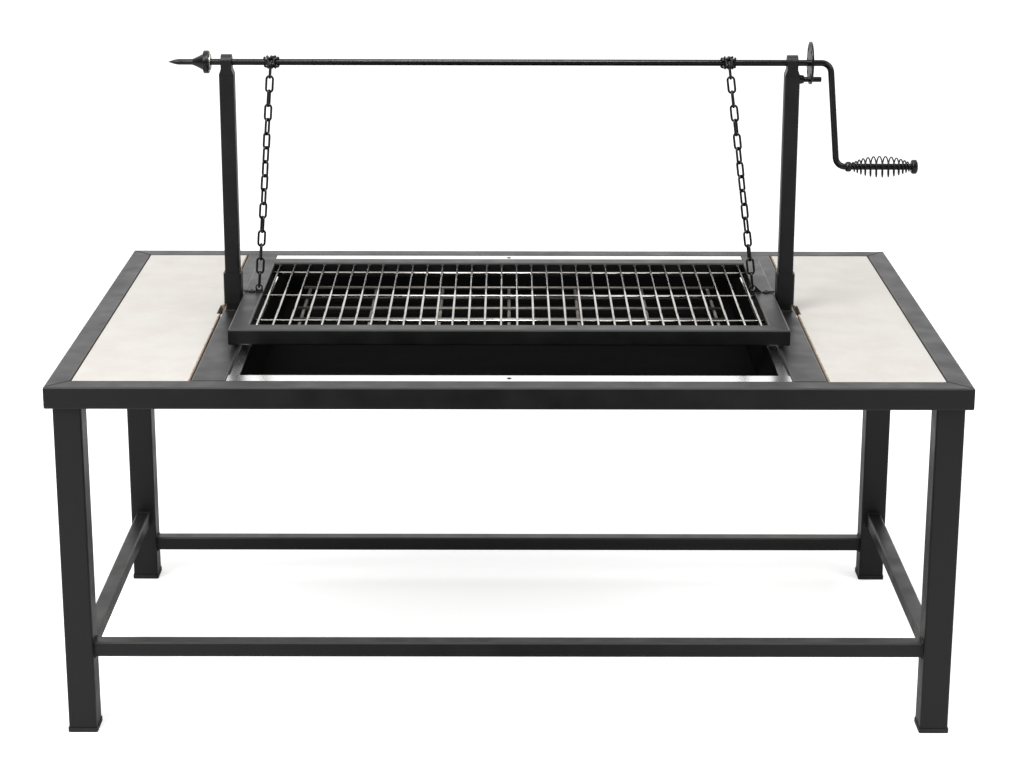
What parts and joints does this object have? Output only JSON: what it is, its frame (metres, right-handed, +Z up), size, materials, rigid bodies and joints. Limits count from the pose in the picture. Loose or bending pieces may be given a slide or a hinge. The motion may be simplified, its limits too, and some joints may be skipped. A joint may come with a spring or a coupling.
{
  "type": "crank-adjustable grill",
  "caption": "Free-standing grill table with a sunk fire tray, stone side surfaces and a cooking grate hung on chains that a hand crank winds up and down",
  "frame": {"origin": "On the floor, at the centre of the object's box seen from above", "axes": "+X to the viewer's right, towards the crank, +Y to the rear, +Z up"},
  "size_m": [1.6, 1, 1.17],
  "materials": {
    "black_powder_coat": "satin black powder coat on welded steel tube",
    "blackened_steel": "black lacquered round bar, links and turned parts",
    "black_heat_paint": "matt black heat-resistant paint on sheet steel",
    "polished_stainless": "polished stainless sheet",
    "bare_grate_steel": "bare drawn rod, bright on the cooking grate and dull on the coal grate",
    "pale_stone": "pale stone slab with an even, slightly glossy face",
    "black_plastic": "moulded black plastic"
  },
  "bodies": {
    "table": {"front_rail": "black_powder_coat", "rear_rail": "black_powder_coat", "left_rail": "black_powder_coat", "right_rail": "black_powder_coat", "left_cross_member": "black_powder_coat", "right_cross_member": "black_powder_coat", "front_left_leg": "black_powder_coat", "front_right_leg": "black_powder_coat", "rear_left_leg": "black_powder_coat", "rear_right_leg": "black_powder_coat", "front_left_foot": "black_plastic", "front_right_foot": "black_plastic", "rear_left_foot": "black_plastic", "rear_right_foot": "black_plastic", "front_stretcher": "black_powder_coat", "rear_stretcher": "black_powder_coat", "left_stretcher": "black_powder_coat", "right_stretcher": "black_powder_coat", "left_tile": "pale_stone", "right_tile": "pale_stone", "left_front_bearer": "black_powder_coat", "left_rear_bearer": "black_powder_coat", "right_front_bearer": "black_powder_coat", "right_rear_bearer": "black_powder_coat", "fire_tray": "black_heat_paint", "tray_flange": "polished_stainless", "front_ledge": "black_powder_coat", "rear_ledge": "black_powder_coat", "coal_grate": "bare_grate_steel", "left_stub": "black_powder_coat", "right_stub": "black_powder_coat", "left_sleeve": "black_powder_coat", "right_sleeve": "black_powder_coat", "left_post": "black_powder_coat", "right_post": "black_powder_coat", "left_bearing_head": "black_powder_coat", "right_bearing_head": "black_powder_coat", "pin_boss": "black_powder_coat"},
    "winder": {"winding_shaft": "blackened_steel", "index_disc": "blackened_steel", "disc_weld_hub": "blackened_steel", "finial_collar": "blackened_steel", "finial_spear": "blackened_steel", "left_chain_wrap": "blackened_steel", "right_chain_wrap": "blackened_steel", "handle_collar": "blackened_steel", "handle_knob": "blackened_steel"},
    "grip": {"handle_coil": "blackened_steel"},
    "pin": {"lock_pin": "blackened_steel"},
    "grill": {"grill_front_rail": "black_powder_coat", "grill_rear_rail": "black_powder_coat", "grill_left_rail": "black_powder_coat", "grill_right_rail": "black_powder_coat", "cooking_grate": "bare_grate_steel", "left_chain_lug": "black_powder_coat", "right_chain_lug": "black_powder_coat", "left_guide_eye": "blackened_steel", "right_guide_eye": "blackened_steel", "left_chain": "blackened_steel", "right_chain": "blackened_steel"}
  },
  "joints": [
    {"name": "crank_turn", "type": "hinge", "parent": "table", "child": "winder", "pos_m": [0, 0.018, 1.13], "axis": [-1, 0, 0], "range_deg": [-29.8, 994]},
    {"name": "grill_lift", "type": "slide", "parent": "table", "child": "grill", "axis": [0, 0, 1], "range_m": [-0.0075, 0.25], "deforming": ["left_chain", "right_chain"]},
    {"name": "grip_spin", "type": "hinge", "parent": "winder", "child": "grip", "pos_m": [0.706, 0.018, 0.932], "axis": [1, 0, 0], "continuous": true},
    {"name": "pin_slide", "type": "slide", "parent": "winder", "child": "pin", "axis": [1, 0, 0], "range_m": [-0.006, 0]}
  ],
  "couplings": [
    {"joint": "grill_lift", "follows": "crank_turn", "m_per_rad": 0.0144}
  ]
}
